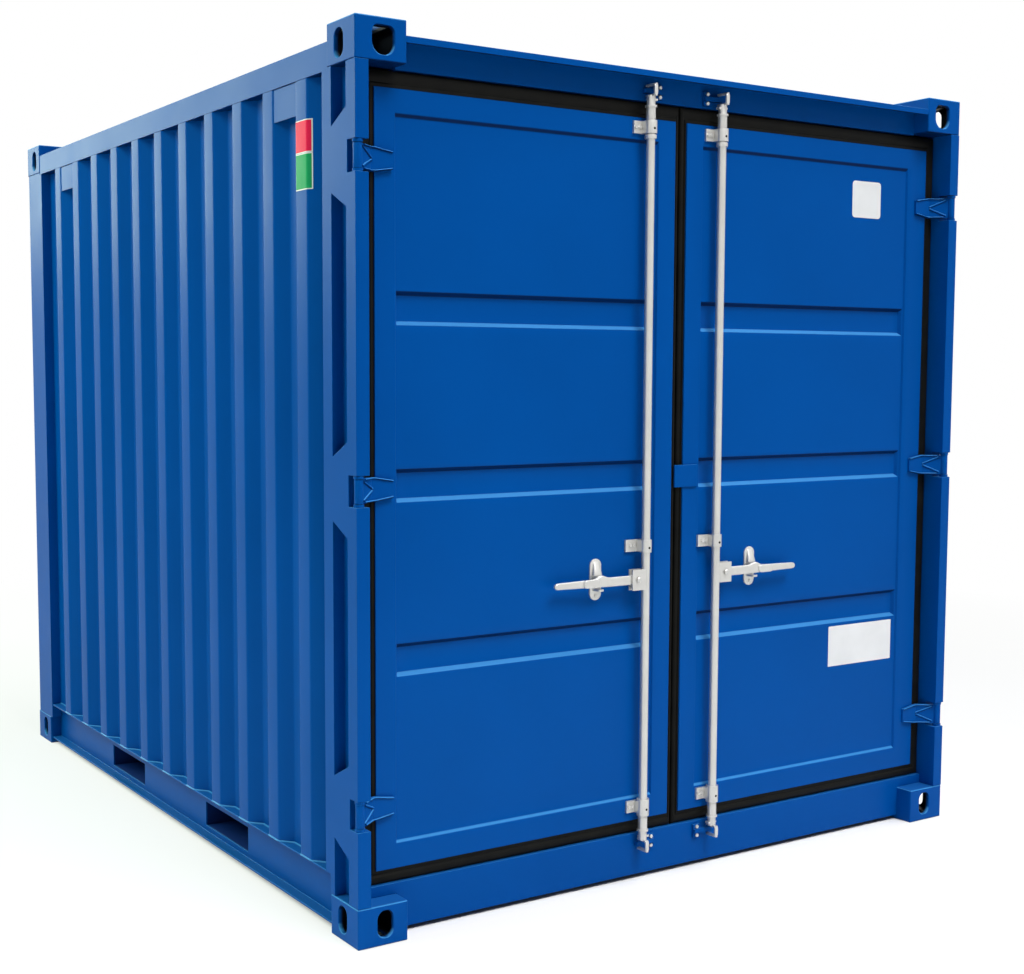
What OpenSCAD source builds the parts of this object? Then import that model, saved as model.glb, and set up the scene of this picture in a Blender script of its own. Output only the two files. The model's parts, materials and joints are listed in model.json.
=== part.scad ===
// Ten foot storage container with two doors, lock bars and fork pockets.
// Millimetres. +Z up, origin on the ground under the middle of the box, doors face -Y.
// In most modules u runs in from a side plane, d runs in from the door end and z runs up.

/* [Overall size] */
// Length over the corner castings, doors to back
length = 2991; // [2800:1:3200]
// Width over the corner castings
width = 2438; // [2300:1:2600]
// Height over the corner castings
height = 2591; // [2450:1:2800]

/* [Corner castings] */
// Width of a casting on the end of the box
casting_w = 162; // [150:1:170]
// Length of a casting along the side
casting_l = 165; // [155:1:178]
// Height of a casting
casting_h = 118; // [112:1:124]
// Side walls of a casting
casting_wall = 18; // [14:0.5:20]
// Wall of a casting with the twist lock slot
casting_base = 22; // [20:0.5:28]
// Length of the twist lock slot, along the box
slot_l = 124; // [110:1:126]
// Width of the twist lock slot
slot_w = 63; // [56:1:66]
// Twist lock slot centre from the side
slot_x = 89; // [84:1:94]
// Height of the side holes
hole_l = 79; // [70:1:80]
// Width of the side holes
hole_w = 51; // [45:1:55]
// Width of the end holes of the top castings
hand_w = 70; // [60:1:74]
// Corner radius of these holes beside the slotted wall
hand_r = 20; // [12:1:28]
// Centre of the holes from the slotted wall's face
hole_z = 62; // [58:1:64]

/* [Posts and rails] */
// Width of the face of a door post
post_face = 42; // [38:1:46]
// Depth of the front leg of a door post
post_leg = 54; // [53:1:58]
// Depth of a whole door post
post_depth = 196; // [186:1:206]
// Sheet of the posts and bottom rails
post_sheet = 6; // [5:0.5:6]
// Side width of a rear post
rear_post = 190; // [180:1:200]
// End width of a rear post
rear_face = 100; // [90:1:110]
// End face of a rear post behind the castings
rear_in = 12; // [4:1:16]
// Top of the bottom rails
rail_top = 178; // [174:1:190]
// Underside of the bottom rails
rail_foot = 22; // [16:1:26]
// Web of the bottom rails from the side
rail_web = 45; // [43:1:48]
// Top of the top rails below the casting tops
rail_drop = 46; // [42:1:50]
// Height of the top rails
top_rail_h = 79; // [70:1:84]
// Width of the top rails
top_rail_w = 60; // [50:1:70]
// Depth of the header and the sill
header_w = 60; // [50:1:70]
// Height of the rain lip in front of the header
rain_lip = 19; // [12:1:24]

/* [Doors] */
// Door face behind the castings
face_depth = 65; // [63:1:70]
// Thickness of a door leaf
leaf_t = 50; // [46:1:52]
// Hinge edge of a leaf from the side
leaf_edge = 95; // [93:1:97]
// Gap between the two leaves
centre_gap = 48; // [46:1:52]
// Middle of the gap, right of the middle of the box
split_shift = -15; // [-20:1:0]
// Bottom of the leaves
leaf_z0 = 195; // [190:1:200]
// Top of the leaves below the casting tops
leaf_drop = 174; // [170:1:180]
// Sheet of a door
door_skin = 2; // [1.5:0.1:2.5]
// Depth of the pressed panel
panel_in = 7; // [5:0.5:9]
// Depth of the bands below the panel
band_in = 14; // [10:1:16]
// Height of a band
band_h = 98; // [84:1:112]
// Distance between the bands
band_pitch = 504; // [450:1:520]
// Panel from the hinge edge, left door
panel_side_left = 65; // [61:1:70]
// Panel from the hinge edge, right door
panel_side_right = 90; // [80:1:95]
// Width of the seal round a leaf
seal_w = 39; // [36:1:41]

/* [Hinges] */
// Hinge pin from the side and from the front
pin_in = 15.5; // [15:0.1:16]
// Radius of a hinge pin
pin_r = 7; // [6:0.5:7]
// Height of a hinge eye
eye_h = 70; // [60:1:74]
// Hinge strap on the door, from the side
strap_end = 150; // [140:1:156]

/* [Lock gear] */
// Lock bar from the free edge of its leaf
bar_in = 123; // [119:1:127]
// Lock bar in front of the door face
bar_out = 27; // [27:1:30]
// Radius of a lock bar
bar_r = 13.5; // [12:0.5:14]
// Height of the handle pivots
handle_z = 979; // [950:1:1010]
// Handle length from pivot to tip
handle_l = 320; // [290:1:340]
// Handle pivot from its lock bar
hub_u = 36; // [34:1:40]
// Catch from its handle pivot
hasp_u = 140; // [110:1:160]
// Radius of the upper and lower guide sleeves
sleeve_r = 20; // [18:1:21]

/* [Walls and floor] */
// Pitch of the wall corrugation
pitch = 225.5; // [222:0.5:228]
// Depth of the wall corrugation
wave_in = 36; // [30:1:36]
// Width of the flats of the corrugation
flat_w = 70; // [66:1:74]
// Width of the slopes of the corrugation
run_w = 43; // [40:1:46]
// Middle of the first outer flat from the door end
wave_0 = 332; // [325:1:340]
// Sheet of the walls and roof
wall_sheet = 2; // [1.5:0.1:2.5]
// Pitch of the roof waves
roof_pitch = 210; // [200:1:220]
// Top of the plywood floor
floor_z = 155; // [154:1:157]
// Plywood thickness
floor_t = 21; // [19:1:22]
// Width of a fork pocket
pocket_w = 352; // [340:1:360]
// Distance between the fork pockets
pocket_pitch = 950; // [900:1:980]
// Bottom of the fork pockets
pocket_z0 = 47; // [42:1:50]
// Distance between the floor beams
beam_pitch = 225; // [210:1:240]

/* [Hidden] */
$fn = 40;
w2 = width / 2;
l2 = length / 2;
eps = 1;
pin_fit = 0.1;
bar_fit = 0.3;
rail_in = 2;
wall_u = 3;
wall_in = wall_u + wave_in;
top_rail_z = height - rail_drop - top_rail_h;
top_sheet = 4;
leaf_z1 = height - leaf_drop;
hinge_low = 188;
hinge_high = 200;
hinge_z = [leaf_z0 + hinge_low, (leaf_z0 + leaf_z1 + hinge_low - hinge_high) / 2, leaf_z1 - hinge_high];
notch_h = eye_h + 18;
notch_d = post_leg - post_sheet - 1;
free_l = w2 + split_shift - centre_gap / 2;
free_r = w2 - split_shift - centre_gap / 2;
seal_gap = 6;
seal_lip = 17;
seal_d0 = face_depth + 7;
seal_t = 28;
header_z = leaf_z1 + seal_w + 2 * seal_gap;
header_top = top_rail_z + top_rail_h + 5;
header_sheet = 5;
sill_top = leaf_z0 - seal_w - seal_gap;
sill_foot = 14;
cam_low = sill_top - 32;
cam_top = header_z + 30;
bar_d = face_depth - bar_out;
guide_low = leaf_z0 + 47;
guide_up = 105;
guide_mid = handle_z + guide_up;
guide_top = leaf_z1 - 31;
guide_h = 40;
guide_low_h = 54;
guide_mid_h = 40;
guide_mid_r = bar_r + 5;
foot_h = 38;
foot_reach = 50;
foot_mid_reach = 60;
claw_w = 8;
claw_out = 26;
claw_back = 20;
claw_t = 6;
claw_z = 16;
tail_u = 20;
tail_d = 8;
tail_off = 28;
ring_r = 18.5;
ring_off = 46;
ring_t = 6;
neck_r = 15;
neck_off = ring_off + ring_t;
sleeve_gap = 4;
fork_end = 24;
fork_slot = 14;
plate_t = 6;
plate_h = 72;
plate_on = 57;
plate_short = 10;
plate_z = (leaf_z0 + leaf_z1) / 2 - 8;
panel_free = 66;
panel_low = 69;
panel_high = 65;
frame_w = 58;
frame_sheet = 4;
lever_t = 12;
lever_r = 15;
tip_r = 12;
pivot_r = 6;
fork_t = 22;
fork_h = 66;
catch_r = 22;
wave_half = flat_w / 2 + run_w;
wave_n = floor((length - rear_post - wave_0 - wave_half) / pitch) + 1;
rear_n = floor((width - 2 * rear_face - 2 * wave_half) / pitch) + 1;
roof_d0 = face_depth + header_w;
roof_d1 = length - rail_in - top_rail_w;
roof_n = floor((roof_d1 - roof_d0) / roof_pitch);
roof_z = top_rail_z + top_rail_h - 6;
roof_in = 16;
hood_h = 97;
hood_gap = 4;
floor_b = floor_z - floor_t;
floor_u = rail_web + post_sheet;
pocket_sheet = 4;
pocket_z1 = floor_b - pocket_sheet;
pocket_mid = [l2 - pocket_pitch / 2, l2 + pocket_pitch / 2];
beam_w = 45;
beam_foot = 34;
beam_first = 250;
beam_gap = 110;
beam_off = pocket_w / 2 + beam_gap;
beam_end = [for (d = [beam_first : beam_pitch : pocket_mid[0] - beam_off]) d];
beam_d = concat(beam_end, [for (d = beam_end) length - d - beam_w],
  [pocket_mid[0] + beam_off, l2 - beam_w / 2, pocket_mid[1] - beam_off - beam_w]);

blue = [0.05, 0.26, 0.55];
zinc = [0.68, 0.7, 0.72];
rubber = [0.05, 0.05, 0.06];
wood = [0.55, 0.4, 0.24];

// Places children with x from the left side, y from the door end, z from the ground
module on_left() translate([-w2, -l2, 0]) children();
// The same, measured from the right side
module on_right() mirror([1, 0, 0]) on_left() children();
// The same two, measured from the back end
module on_back() mirror([0, 1, 0]) on_left() children();

module box(u0, u1, d0, d1, z0, z1) translate([u0, d0, z0]) cube([u1 - u0, d1 - d0, z1 - z0]);

// Profile in depth and height, run across the box from u0 to u1
module run_u(u0, u1) translate([u0, 0, 0]) rotate([90, 0, 90]) linear_extrude(u1 - u0) children();
// Profile in width and height, run along the box from d0 to d1
module run_d(d0, d1) translate([0, d1, 0]) rotate([90, 0, 0]) linear_extrude(d1 - d0) children();
// Cylinder lying along the depth, from d0 to d1
module peg(u, z, r, d0, d1) translate([u, d1, z]) rotate([90, 0, 0]) cylinder(h = d1 - d0, r = r);

// A hollow rectangle with its walls inside
module tube(x, y, w, h, t) translate([x, y]) difference() {
  square([w, h]);
  translate([t, t]) square([w - 2 * t, h - 2 * t]);
}
// A channel: a web and two flanges from x to the web's inner face, standing on y
module channel(x, foot, web, y, h, t) {
  translate([web, y]) square([t, h]);
  translate([x, y + h - t]) square([web + t - x, t]);
  translate([foot, y]) square([web + t - foot, t]);
}

// A rounded hole: two cylinders and the block between them, standing on the drawn plane
module slot_cut(l, w, h) {
  for (s = [-1, 1]) translate([s * (l - w) / 2, 0, 0]) cylinder(h = h, d = w);
  translate([-(l - w) / 2, -w / 2, 0]) cube([l - w, w, h]);
}

// A shield shaped hole: square below with rounded corners of radius r, and half round above
module shield_cut(l, w, r, h) {
  translate([0, (l - w) / 2, 0]) cylinder(h = h, d = w);
  translate([-w / 2, r - l / 2, 0]) cube([w, l - w / 2 - r, h]);
  translate([r - w / 2, -l / 2, 0]) cube([w - 2 * r, r + eps, h]);
  for (s = [-1, 1]) translate([s * (w / 2 - r), r - l / 2, 0]) cylinder(h = h, r = r);
}

// A corner casting at the left, door end: hollow, with a slot below and holes in front and side.
// The child is cut out as its end hole
module casting() {
  t = casting_wall;
  b = casting_base;
  difference() {
    cube([casting_w, casting_l, casting_h]);
    translate([t, t, b]) cube([casting_w - 2 * t, casting_l - 2 * t, casting_h - 2 * b]);
    translate([slot_x, casting_l / 2, -eps]) rotate([0, 0, 90]) slot_cut(slot_l, slot_w, b + 2 * eps);
    translate([slot_x, t + eps, hole_z]) rotate([90, 0, 0]) children();
    translate([-eps, casting_l / 2 + 12, hole_z]) rotate([0, 90, 0]) slot_cut(hole_l, hole_w, t + 2 * eps);
  }
}

module four() {
  on_left() children();
  on_right() children();
  mirror([0, 1, 0]) { on_left() children(); on_right() children(); }
}

module bottom_castings() color(blue) four() casting()
  rotate([0, 0, 90]) slot_cut(hole_l, hole_w, casting_wall + 2 * eps);
module top_castings() color(blue) four() translate([0, 0, height]) mirror([0, 0, 1]) casting()
  shield_cut(hole_l, hand_w, hand_r, casting_wall + 2 * eps);

// Section of a door post seen from above: closed front leg, recess open to the side, rear strip
module post_section() {
  t = post_sheet;
  back = post_depth - post_leg;
  tube(0, 0, post_face, post_leg, t);
  translate([post_face - t, post_leg - eps]) square([t, back - post_leg + eps]);
  translate([0, back - eps]) square([post_face, t]);
  translate([0, back - eps]) square([t, post_leg + eps]);
}

// Side plate that bridges the recess at a hinge
module gusset() {
  d0 = post_leg - eps;
  d1 = post_depth - post_leg;
  tall = 136;
  low = 91;
  rotate([90, 0, 90]) linear_extrude(post_sheet)
    polygon([[d0, -tall], [d1, -low], [d1, low], [d0, tall]]);
}

// What a rail takes from a post beyond its casting, from z0 to z1
module rail_room(u1, d1, z0, z1) box(-eps, u1, casting_l, d1, z0, z1);
// Section of a bottom rail of a side
module rail_section()
  channel(wall_u, wall_u + 5, rail_web, rail_foot, rail_top - rail_foot, post_sheet);

module door_post() {
  shelf = 10;
  difference() {
    union() {
      translate([0, 0, casting_h]) linear_extrude(height - 2 * casting_h) post_section();
      for (z = hinge_z) {
        translate([0, 0, z]) gusset();
        for (z0 = [z - notch_h / 2 - shelf, z + notch_h / 2])
          box(eps, post_face - eps, eps, post_leg - eps, z0, z0 + shelf);
      }
    }
    for (z = hinge_z) {
      box(-eps, post_face + eps, -eps, notch_d, z - notch_h / 2, z + notch_h / 2);
      translate([pin_in, pin_in, z - notch_h / 2 - shelf - eps])
        cylinder(h = notch_h + 2 * shelf + 2 * eps, r = pin_r + pin_fit / 2);
    }
    rail_room(post_face + eps, post_depth + eps, casting_h - eps, rail_top);
    rail_room(post_face + eps, post_depth + eps, top_rail_z, height);
  }
}

module left_door_post() color(blue) on_left() door_post();
module right_door_post() color(blue) on_right() door_post();

module pin_row() for (z = hinge_z)
  translate([pin_in, pin_in, z - notch_h / 2 - 9]) cylinder(h = notch_h + 18, r = pin_r);
module hinge_pins() color(blue) { on_left() pin_row(); on_right() pin_row(); }

module rear_post_body() difference() {
  translate([0, 0, casting_h]) linear_extrude(height - 2 * casting_h) {
    t = post_sheet;
    inner = wall_in + wall_sheet;
    translate([0, rear_in]) square([t, rear_post - rear_in]);
    translate([0, rear_in]) square([rear_face, t]);
    translate([0, rear_post - t]) square([inner, t]);
    translate([rear_face - t, rear_in]) square([t, inner - rear_in]);
  }
  run_d(casting_l, rear_post + eps) rail_section();
  rail_room(rear_face + eps, rear_post + eps, top_rail_z, height);
}
module left_rear_post() color(blue) on_back() rear_post_body();
module right_rear_post() color(blue) mirror([1, 0, 0]) on_back() rear_post_body();

// Header: a box over the doors with a rain lip standing forward
module door_header() color(blue) on_left() run_u(casting_w, width - casting_w) {
  t = header_sheet;
  tube(face_depth, header_z, header_w, header_top - header_z, t);
  translate([rail_in, header_top - t]) square([face_depth - rail_in + eps, t]);
  translate([rail_in, header_top - rain_lip]) square([t, rain_lip]);
}

// Sill: a channel under the doors, open to the back. Its top goes on over the castings to the posts
module door_sill() color(blue) on_left() {
  t = post_sheet;
  run_u(casting_w, width - casting_w) {
    translate([face_depth, sill_foot]) square([t, sill_top - sill_foot]);
    translate([face_depth, sill_foot]) square([header_w, t]);
  }
  box(post_face, width - post_face, face_depth, face_depth + t, casting_h, sill_top);
  box(post_face, width - post_face, face_depth, face_depth + header_w, sill_top - t, sill_top);
}

module rear_top_rail() color(blue) on_back() run_u(casting_w, width - casting_w)
  tube(rail_in, top_rail_z, top_rail_w, top_rail_h, top_sheet);
module rear_bottom_rail() color(blue) on_back() run_u(casting_w, width - casting_w)
  channel(wall_u, wall_u, rail_web, rail_foot, rail_top - rail_foot, post_sheet);

module top_rail() run_d(casting_l, length - casting_l)
  tube(rail_in, top_rail_z, top_rail_w, top_rail_h, top_sheet);
module left_top_rail() color(blue) on_left() top_rail();
module right_top_rail() color(blue) on_right() top_rail();

module bottom_rail() difference() {
  run_d(casting_l, length - casting_l) rail_section();
  for (m = pocket_mid)
    box(rail_web - eps, floor_u + eps, m - pocket_w / 2, m + pocket_w / 2, pocket_z0, pocket_z1);
}
module left_bottom_rail() color(blue) on_left() bottom_rail();
module right_bottom_rail() color(blue) on_right() bottom_rail();

// One sheet bent in waves: points along the outer face, then back along the inner face
function wave(n, p, c0, a, b) = [for (i = [0 : n - 1]) each [
  [c0 + i * p - wave_half, b], [c0 + i * p - flat_w / 2, a],
  [c0 + i * p + flat_w / 2, a], [c0 + i * p + wave_half, b]]];
function back(v) = [for (i = [len(v) - 1 : -1 : 0]) v[i]];

module wave_sheet(n, p, c0, start, end, a, b, t) polygon(concat(
  [[start, b]], wave(n, p, c0, a, b), [[end, b]],
  [[end, b + t]], back(wave(n, p, c0, a + t, b + t)), [[start, b + t]]));

// A wall sheet stands on the bottom rail and meets the posts and the top rail
module side_wall() translate([0, 0, rail_top]) linear_extrude(top_rail_z - rail_top)
  mirror([1, -1]) wave_sheet(wave_n, pitch, wave_0, post_depth - post_leg - eps + post_sheet,
    length - rear_post, wall_u, wall_in, wall_sheet);
module left_wall() color(blue) on_left() side_wall();
module right_wall() color(blue) on_right() side_wall();

module rear_wall() color(blue) on_back() translate([0, 0, rail_top])
  linear_extrude(top_rail_z - rail_top)
  wave_sheet(rear_n, pitch, w2 - pitch * (rear_n - 1) / 2, rear_face, width - rear_face,
    wall_u, wall_in, wall_sheet);

// Roof sheet between the rails, cut back round the castings
module roof() color(blue) on_left() difference() {
  inner = rail_in + top_rail_w;
  run_u(inner, width - inner)
    wave_sheet(roof_n, roof_pitch, (roof_d0 + roof_d1 - roof_pitch * (roof_n - 1)) / 2,
      roof_d0, roof_d1, roof_z, roof_z - roof_in, -wall_sheet);
  for (u = [0, width - casting_w], d = [0, length - casting_l])
    box(u, u + casting_w, d, d + casting_l, top_rail_z, height);
}

module plywood_floor() color(wood) on_left()
  box(floor_u, width - floor_u, face_depth + header_w, length - floor_u, floor_b, floor_z);

// Cross channels under the floor, clear of the fork pockets
module floor_beams() color(blue) on_left() for (d = beam_d) run_u(floor_u, width - floor_u) {
  t = pocket_sheet;
  translate([d, beam_foot]) square([t, floor_b - beam_foot]);
  for (z = [beam_foot, floor_b - t]) translate([d, z]) square([beam_w, t]);
}

module fork_pocket_plates() color(blue) on_left()
  for (m = pocket_mid, z = [pocket_z0 - pocket_sheet, pocket_z1])
    box(floor_u, width - floor_u, m - pocket_w / 2 - pocket_sheet, m + pocket_w / 2 + pocket_sheet,
      z, z + pocket_sheet);
module fork_pocket_webs() color(blue) on_left()
  for (m = pocket_mid, d = [m - pocket_w / 2 - pocket_sheet, m + pocket_w / 2])
    box(floor_u, width - floor_u, d, d + pocket_sheet, pocket_z0, pocket_z1);

// Section of a vent hood in a wall trough, drawn smaller by t
module hood_section(t) {
  g = (pitch - flat_w) / 2 - hood_gap - t;
  mirror([1, -1]) polygon([[-g, wall_u + 3 + t], [g, wall_u + 3 + t],
    [g - run_w + hood_gap, wall_in], [-g + run_w - hood_gap, wall_in]]);
}
// A sheet hood under the top rail, open below
module hood() translate([0, 0, top_rail_z - hood_h]) difference() {
  linear_extrude(hood_h) hood_section(0);
  translate([0, 0, -eps]) linear_extrude(hood_h - wall_sheet + eps) hood_section(wall_sheet);
}
module hoods() for (i = [0.5, wave_n - 1.5]) translate([0, wave_0 + i * pitch, 0]) hood();
module vent_hoods() color(blue) { on_left() hoods(); on_right() hoods(); }

// Keeper beside a lock bar: a shelf that the cam closes round, on a bracket towards the middle
module keeper(free, z) translate([free - bar_in, face_depth, z]) {
  shelf_t = 14;
  shelf_out = 15;
  shelf_u = -12;
  near = 36;
  far = 62;
  half = 22;
  box(shelf_u, far, -shelf_out, 0, -shelf_t / 2, shelf_t / 2);
  box(near, far, -9, 0, -half, half);
}
module cam_keepers() color(blue) for (z = [cam_low, cam_top]) {
  on_left() keeper(free_l, z);
  on_right() keeper(free_r, z);
}

// Truncated pyramid lying on the door: wide at depth d0, narrower by its runs at depth d1
module pan(u0, u1, z0, z1, d0, d1, ru, rz) polyhedron(
  points = [[u0, d0, z0], [u1, d0, z0], [u1, d0, z1], [u0, d0, z1],
    [u0 + ru, d1, z0 + rz], [u1 - ru, d1, z0 + rz], [u1 - ru, d1, z1 - rz], [u0 + ru, d1, z1 - rz]],
  faces = [[3, 2, 1, 0], [5, 6, 7, 4], [1, 5, 4, 0], [2, 6, 5, 1], [3, 7, 6, 2], [0, 4, 7, 3]]);

// What is pressed into a leaf, drawn larger by t: a shallow panel and three deeper bands
module pressing(free, side, t) {
  d0 = face_depth + t - 0.01;
  d1 = face_depth + t + panel_in;
  p0 = leaf_edge + side;
  p1 = free - panel_free;
  run_end = 6;
  run_top = 14;
  band_end = 11;
  band_top = 14;
  mid = (leaf_z0 + leaf_z1) / 2;
  pan(p0 - t, p1 + t, leaf_z0 + panel_low - t, leaf_z1 - panel_high + t, d0, d1, run_end, run_top);
  for (z = [mid - band_pitch, mid, mid + band_pitch])
    pan(p0 + run_end - t, p1 - run_end + t, z - band_h / 2 - t, z + band_h / 2 + t,
      d0 + panel_in, d1 + band_in, band_end, band_top);
}

// Pressed front sheet of a leaf
module door_sheet(free, side) difference() {
  union() {
    box(leaf_edge, free, face_depth, face_depth + door_skin, leaf_z0, leaf_z1);
    pressing(free, side, door_skin);
  }
  pressing(free, side, 0);
}

// Edge channel of a leaf behind the sheet
module door_frame(free) {
  f = face_depth + door_skin;
  b = face_depth + leaf_t;
  t = frame_sheet;
  difference() {
    box(leaf_edge, free, f, b, leaf_z0, leaf_z1);
    box(leaf_edge + t, free - t, f - eps, b - t, leaf_z0 + t, leaf_z1 - t);
    box(leaf_edge + frame_w, free - frame_w, f, b + eps, leaf_z0 + frame_w, leaf_z1 - frame_w);
  }
}

// Rubber seal round three edges of a leaf, held just short of the strip on the fourth
module seal_ring(free) difference() {
  d1 = seal_d0 + seal_t;
  box(post_face + seal_gap, free - eps / 2, seal_d0, d1, leaf_z0 - seal_w, leaf_z1 + seal_w + seal_gap);
  box(leaf_edge, free, seal_d0 - eps, d1 + eps, leaf_z0, leaf_z1);
}
// Rubber strip on the free edge of a leaf from z0 to z1
module seal_strip(free, z0, z1) box(free, free + seal_lip, seal_d0, seal_d0 + seal_t, z0, z1);

// Hinge blade: an eye round the pin and a cranked strap on to the door
module blade(z) translate([0, 0, z]) difference() {
  e = eye_h / 2;
  tail = 25;
  fold = 90;
  t = 8;
  union() {
    translate([pin_in, pin_in, -e]) cylinder(h = eye_h, r = pin_r + 6);
    intersection() {
      translate([0, 0, -e]) linear_extrude(eye_h) polygon([
        [pin_in + 2, pin_in - 6], [fold - 10, face_depth - t], [strap_end, face_depth - t],
        [strap_end, face_depth], [fold - 14, face_depth], [pin_in - 2, pin_in + 6]]);
      run_d(0, face_depth + eps) polygon([[0, -e], [fold, -e], [strap_end + eps, -tail],
        [strap_end + eps, tail], [fold, e], [0, e]]);
    }
  }
  translate([pin_in, pin_in, -e - eps]) cylinder(h = eye_h + 2 * eps, r = pin_r + pin_fit);
}

// Guide: a sleeve round the bar on a foot bolted to the door. The foot points to side 1 or -1
// and stands on what is seat behind the castings
module guide(z, h, r, reach, seat, side) translate([0, 0, z]) difference() {
  foot_t = 8;
  f = foot_h / 2;
  union() {
    translate([0, bar_d, -h / 2]) cylinder(h = h, r = r);
    box(-r, r, bar_d, seat, -f, f);
    box(side > 0 ? 0 : -reach, side > 0 ? reach : 0, seat - foot_t, seat, -f, f);
  }
  translate([0, bar_d, -h]) cylinder(h = 2 * h, r = bar_r + bar_fit);
}
module bar_guides(free, side) translate([free - bar_in, 0, 0]) {
  mid_seat = face_depth + (side > 0 ? 0 : panel_in);
  guide(guide_low, guide_low_h, sleeve_r, foot_reach, face_depth, side);
  guide(guide_mid, guide_mid_h, guide_mid_r, foot_mid_reach, mid_seat, side);
  guide(guide_top, guide_h, sleeve_r, foot_reach, face_depth, side);
}

// Cam at a bar end: two prongs towards the door, joined in front, and a tail towards the middle
// of the doors on the bar's side of them, which is above for side 1 and below for side -1
module cam(z, side) translate([0, bar_d, z]) {
  c = claw_w / 2;
  tail = side * tail_off;
  for (s = [-claw_z, claw_z]) box(-c, c, -claw_out, claw_back, s - claw_t / 2, s + claw_t / 2);
  box(-c, c, -claw_out, claw_t - claw_out, -claw_z, claw_z);
  box(-bar_r, tail_u, -tail_d, tail_d, tail - claw_t / 2, tail + claw_t / 2);
}

// A ring on a lock bar from z0 to z1
module ring(r, z0, z1) translate([0, bar_d, z0]) cylinder(h = z1 - z0, r = r);

// Bar with its two cams, rings, and the fork that carries the handle
module lock_bar(free) translate([free - bar_in, 0, 0]) {
  sleeve_top = guide_top - guide_h / 2 - sleeve_gap;
  ring(bar_r, cam_low + claw_z, cam_top - claw_z);
  cam(cam_low, 1);
  cam(cam_top, -1);
  ring(ring_r, cam_low + ring_off, cam_low + ring_off + ring_t);
  ring(ring_r, cam_top - ring_off - ring_t, cam_top - ring_off);
  ring(neck_r, cam_low + neck_off, guide_low - guide_low_h / 2 - sleeve_gap);
  ring(neck_r, guide_top + guide_h / 2 + sleeve_gap, cam_top - neck_off);
  ring(ring_r, sleeve_top - 2 * ring_t, sleeve_top);
  translate([0, bar_d, handle_z]) difference() {
    box(-hub_u - fork_end, 0, -fork_t / 2, fork_t / 2, -fork_h / 2, fork_h / 2);
    box(-hub_u - fork_end - eps, -bar_r, -fork_slot / 2, fork_slot / 2, -fork_h, fork_h);
  }
  peg(-hub_u, handle_z, pivot_r, bar_d - fork_t / 2 - sleeve_gap, bar_d + fork_t / 2);
}

// Flat handle on the pivot pin, with a long hasp tongue in front of it beyond the catch
module handle(free) translate([free - bar_in - hub_u, bar_d, handle_z]) {
  h = lever_t / 2;
  tongue_in = 9;
  tongue_out = 73;
  tongue_h = 26;
  difference() {
    union() {
      peg(0, 0, lever_r, -h, h);
      box(-hasp_u, 0, -h, h, -lever_r, lever_r);
      box(tip_r - handle_l, -hasp_u, -h, h, -tip_r, tip_r);
      peg(tip_r - handle_l, 0, tip_r, -h, h);
    }
    peg(0, 0, pivot_r + pin_fit, -h - eps, h + eps);
  }
  box(-hasp_u - tongue_out, -hasp_u - tongue_in, -2 * h, -h + eps, -tongue_h / 2, tongue_h / 2);
}

// Catch: round ended base plate on the door, a shelf under the handle and a lug above it
module handle_catch(free) translate([free - bar_in - hub_u - hasp_u, face_depth, handle_z]) {
  t = 6;
  low = -58;
  high = 72;
  shelf_z = -27;
  lug = 14;
  lug_out = 15;
  lug_z = 24;
  lug_h = 36;
  r = catch_r;
  for (z = [low + r, high - r]) peg(0, z, r, panel_in - t, panel_in);
  box(-r, r, panel_in - t, panel_in, low + r, high - r);
  box(-r, r, -bar_out - lever_t / 2, panel_in - eps, shelf_z, shelf_z + t);
  box(-lug, lug, -lug_out, panel_in - eps, lug_z, lug_z + lug_h);
}

module left_door_sheet() color(blue) on_left() door_sheet(free_l, panel_side_left);
module left_door_frame() color(blue) on_left() door_frame(free_l);
// The left strip leaves room for the interlock plate of the right door
module left_door_seal() color(rubber) on_left() {
  room = plate_h / 2 + 8;
  seal_ring(free_l);
  seal_strip(free_l, leaf_z0 - seal_w, plate_z - room);
  seal_strip(free_l, plate_z + room, leaf_z1 + seal_w + seal_gap);
}
module left_hinge_blades() color(blue) on_left() for (z = hinge_z) blade(z);
module left_bar_guides() color(zinc) on_left() bar_guides(free_l, -1);
module left_handle_catch() color(zinc) on_left() handle_catch(free_l);
module left_lock_bar() color(zinc) on_left() lock_bar(free_l);
module left_handle() color(zinc) on_left() handle(free_l);

module right_door_sheet() color(blue) on_right() door_sheet(free_r, panel_side_right);
module right_door_frame() color(blue) on_right() door_frame(free_r);
module right_door_seal() color(rubber) on_right() {
  seal_ring(free_r);
  seal_strip(free_r, leaf_z0 - seal_w, leaf_z1 + seal_w + seal_gap);
}
module right_hinge_blades() color(blue) on_right() for (z = hinge_z) blade(z);
module right_bar_guides() color(zinc) on_right() bar_guides(free_r, 1);
module right_handle_catch() color(zinc) on_right() handle_catch(free_r);
// Plate on the right leaf that stands over the gap, so that the right door opens first
module right_interlock_plate() color(blue) on_right()
  box(free_r - plate_on, free_r + centre_gap - plate_short, face_depth - plate_t, face_depth,
    plate_z - plate_h / 2, plate_z + plate_h / 2);
module right_lock_bar() color(zinc) on_right() lock_bar(free_r);
module right_handle() color(zinc) on_right() handle(free_r);

bottom_castings();
top_castings();
left_door_post();
right_door_post();
left_rear_post();
right_rear_post();
door_header();
door_sill();
rear_top_rail();
rear_bottom_rail();
left_top_rail();
right_top_rail();
left_bottom_rail();
right_bottom_rail();
left_wall();
right_wall();
rear_wall();
roof();
plywood_floor();
floor_beams();
fork_pocket_plates();
fork_pocket_webs();
vent_hoods();
cam_keepers();
hinge_pins();
left_door_sheet();
left_door_frame();
left_door_seal();
left_hinge_blades();
left_bar_guides();
left_handle_catch();
left_lock_bar();
left_handle();
right_door_sheet();
right_door_frame();
right_door_seal();
right_hinge_blades();
right_bar_guides();
right_handle_catch();
right_interlock_plate();
right_lock_bar();
right_handle();
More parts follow.
